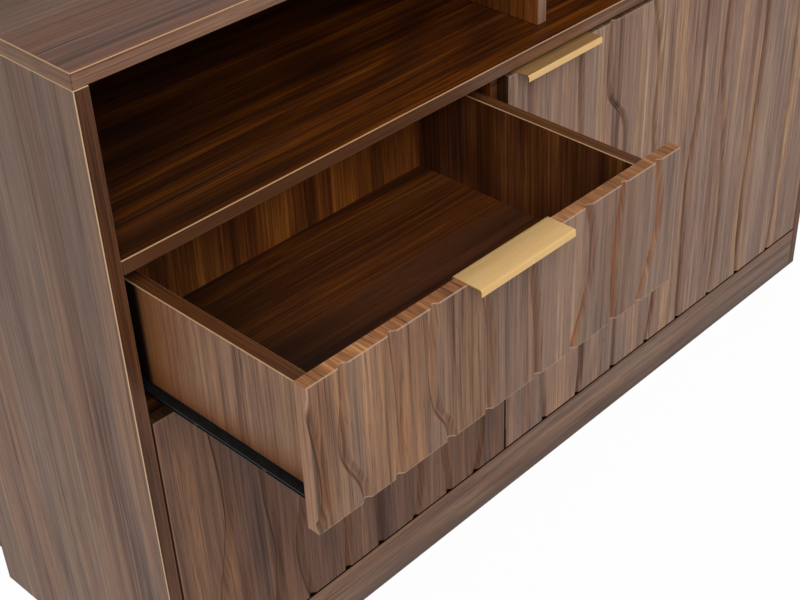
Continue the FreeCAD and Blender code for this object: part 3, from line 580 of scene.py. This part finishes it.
# Painted shade on the drawer's left side: orange low down and towards the cabinet, near black in the gap.
painted_shade_tints = [
    (2, 0.50, 0.466, "6e3a12", 0.55), (1, -0.16, -0.06, "6e3a12", 0.55),
    (1, -0.054, -0.045, "070302", 0.97)]
band_rows = [([UP], "y", BOX_BAND, []), ([BACK, FRONT], "z", BOX_BAND, [])]
dress("drawer_side_left", walnut("walnut_drawer_left", 30.0, [
    (None, "z", OUTSIDE, painted_shade_tints), ([RIGHTWARD], "z", DRAWER_IN, [], INNER_BANDS)] + band_rows,
    arris=TAN_ARRIS, rust=0.15, bands=(0.25, 0.8, 0.9)))
dress("drawer_side_right", walnut("walnut_drawer_right", 31.0, [
    (None, "z", OUTSIDE, []), ([LEFT], "z", RIGHT_WALL, [], INNER_BANDS)] + band_rows, arris=TAN_ARRIS))
# The drawer's back and floor fall darker towards the left end: painted shade.
dress("drawer_back", walnut("walnut_drawer_back", 32.0, [
    (None, "z", DRAWER_IN, [(0, -0.30, -0.56, "2a1407", 0.40)]),
    ([UP], "x", BOX_BAND, [])], bands=(0.6, 1.0, 0.62)))
dress("drawer_floor", walnut("walnut_drawer_floor", 33.0, [
    (None, "x", DRAWER_FLOOR, [(0, -0.30, -0.52, "120803", 0.78)]),
    ([DOWN], "x", BAND, [])], arris=NO_ARRIS, bands=(0.7, 1.0, 0.55)))
# The back sheets fall darker towards the left end: painted shade.
for seed, node in [(34.0, "back_niche"), (35.0, "back_left"), (36.0, "back_right")]:
    rows = [(None, "z", INNER, [(0, 0.0, -0.55, "0d0907", 0.6)]), ([BACK], "z", BAND, [])]
    dress(node, walnut("printed_" + node, seed, rows, arris=NO_ARRIS, bands=INNER_BANDS))
print("drawer box and back sheets dressed")

# %% [markdown]
# ## Pulls
# Each pull is a strip of satin gold sheet bent twice: a leg screwed behind the front, a plate over its top edge and
# a short lip in front. Extruding a flat outline would give knife-sharp bends, so the sheet's middle line is written
# as straight runs joined by arcs, thickened to both sides and carried along the length. A small bevel catches light.

# %% Bend the pulls
SHEET = 0.002
BEND = 0.0013
LIP = 0.0075
ARC_STEPS = 7


def bent_outline(path):
    """The closed outline of a bent sheet: the middle line with an arc at each corner, moved half the sheet's
    thickness to one side along its normals, then back along the other side."""
    before = path[:-2] - path[1:-1]
    after = path[2:] - path[1:-1]
    before = before / np.linalg.norm(before, axis=1, keepdims=True)
    after = after / np.linalg.norm(after, axis=1, keepdims=True)
    middle = path[1:-1] + BEND * (before + after)
    sweep = np.linspace(0, np.pi / 2, ARC_STEPS)[None, :, None]
    arcs = middle[:, None] - BEND * (after[:, None] * np.cos(sweep) + before[:, None] * np.sin(sweep))
    line = np.vstack([path[:1], arcs.reshape(-1, 2), path[-1:]])
    along = np.gradient(line, axis=0)
    turn = np.sin(sweep)
    ends_before = np.repeat(-before[:, None], ARC_STEPS, axis=1) * np.cos(sweep) + after[:, None] * turn
    along[1:-1] = ends_before.reshape(-1, 2)
    along[0], along[-1] = path[1] - path[0], path[-1] - path[-2]
    along = along / np.linalg.norm(along, axis=1, keepdims=True)
    normals = np.stack([-along[:, 1], along[:, 0]], axis=1)
    return np.vstack([line + normals * SHEET / 2, (line - normals * SHEET / 2)[::-1]])


def make_pull(name, node, body):
    """A pull along X inside its node's box: leg up behind the front, plate forward, lip down."""
    low, high = (np.array(corner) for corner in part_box(node))
    half = SHEET / 2
    path = np.array([
        (high[1] - half, low[2]), (high[1] - half, high[2] - half),
        (low[1] + half, high[2] - half), (low[1] + half, high[2] - LIP)])
    outline = bent_outline(path)
    count = len(outline)
    ends = [np.column_stack([np.full(count, x), outline]) for x in (low[0], high[0])]
    index = np.arange(count)
    after = (index + 1) % count
    walls = np.stack([index, after, after + count, index + count], axis=1).tolist()
    piece = mesh_piece(name, np.vstack(ends), walls + [index[::-1].tolist(), (index + count).tolist()])
    piece.data.shade_smooth()
    piece.data.set_sharp_from_angle(angle=np.radians(40))
    bevel = piece.modifiers.new("worn_edge", "BEVEL")
    bevel.width = 0.0003
    bevel.segments = 2
    bevel.limit_method = "ANGLE"
    bevel.angle_limit = np.radians(50)
    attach(piece, body)
    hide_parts(node)
    return piece


pulls = [make_pull("gold_pull_drawer", "pull_drawer", "drawer"),
         make_pull("gold_pull_left", "pull_left", "door_left"),
         make_pull("gold_pull_right", "pull_right", "door_right")]
print("pulls:", [len(piece.data.vertices) for piece in pulls], "points each")

# %% [markdown]
# ## Metal, plastic and plain wood
# The small parts are simple materials, but none is one flat colour: gold sheet is brushed along its length, black
# slides have a mottled lacquer, zinc is speckled, dowels have grain. One recipe with a squeezed noise serves
# them all.

# %% Small finishes
def speckled(name, dark, light, scale, squeeze, rough, metal, bump):
    """Two shades mixed by a squeezed noise, which also moves the roughness and a faint bump."""
    material, tree, shader, coordinates = new_finish(name)
    place = add(tree, "Mapping", {"Vector": coordinates.outputs["Object"], "Scale": squeeze})
    grain = rise(tree, noise(tree, place, scale, 3.0, 0.0), 0.3, 0.7)
    feed(shader.inputs["Base Color"], mix(tree, grain, paint(dark), paint(light)))
    feeds = {"Value": grain, "To Min": rough[0], "To Max": rough[1]}
    feed(shader.inputs["Roughness"], add(tree, "MapRange", feeds))
    shader.inputs["Metallic"].default_value = metal
    feeds = {"Height": grain, "Strength": bump, "Distance": 0.0002}
    feed(shader.inputs["Normal"], add(tree, "Bump", feeds))
    return material


small = {
    "gold_pull": speckled("satin_gold", "d6ab6e", "dcb67c", 900.0, (0.03, 1.0, 1.0), (0.34, 0.44), 0.8, 0.08),
    "black_steel": speckled("black_lacquer", "08090a", "101312", 500.0, (1.0, 0.4, 1.0), (0.40, 0.52), 0.0, 0.2),
    "steel": speckled("nickel_steel", "9a9a98", "b9b8b4", 800.0, (1.0, 1.0, 1.0), (0.25, 0.40), 1.0, 0.1),
    "zinc": speckled("cast_zinc", "80827f", "9fa09c", 600.0, (1.0, 1.0, 1.0), (0.40, 0.60), 1.0, 0.3),
    "nylon": speckled("white_nylon", "cfccc2", "dedbd2", 400.0, (1.0, 1.0, 1.0), (0.40, 0.50), 0.0, 0.1),
    "beech": speckled("beech_wood", "b58d63", "cfa97f", 300.0, (1.0, 1.0, 0.1), (0.55, 0.70), 0.0, 0.3),
    "rubber": speckled("grey_rubber", "8f8e89", "a3a29c", 500.0, (1.0, 1.0, 1.0), (0.55, 0.70), 0.0, 0.2),
}
small["black_steel"].node_tree.nodes["Principled BSDF"].inputs["Specular IOR Level"].default_value = 0.2
for piece in pulls:
    piece.data.materials.append(small["gold_pull"])
for node, item in nodes.items():
    for slot in item.material_slots:
        if slot.material and slot.material.name in small:
            slot.material = small[slot.material.name]
dress("runner_screws", small["black_steel"])
finished = [item for item in nodes.values() if any(s.material in small.values() for s in item.material_slots)]
print("small finishes on", len(finished), "nodes")
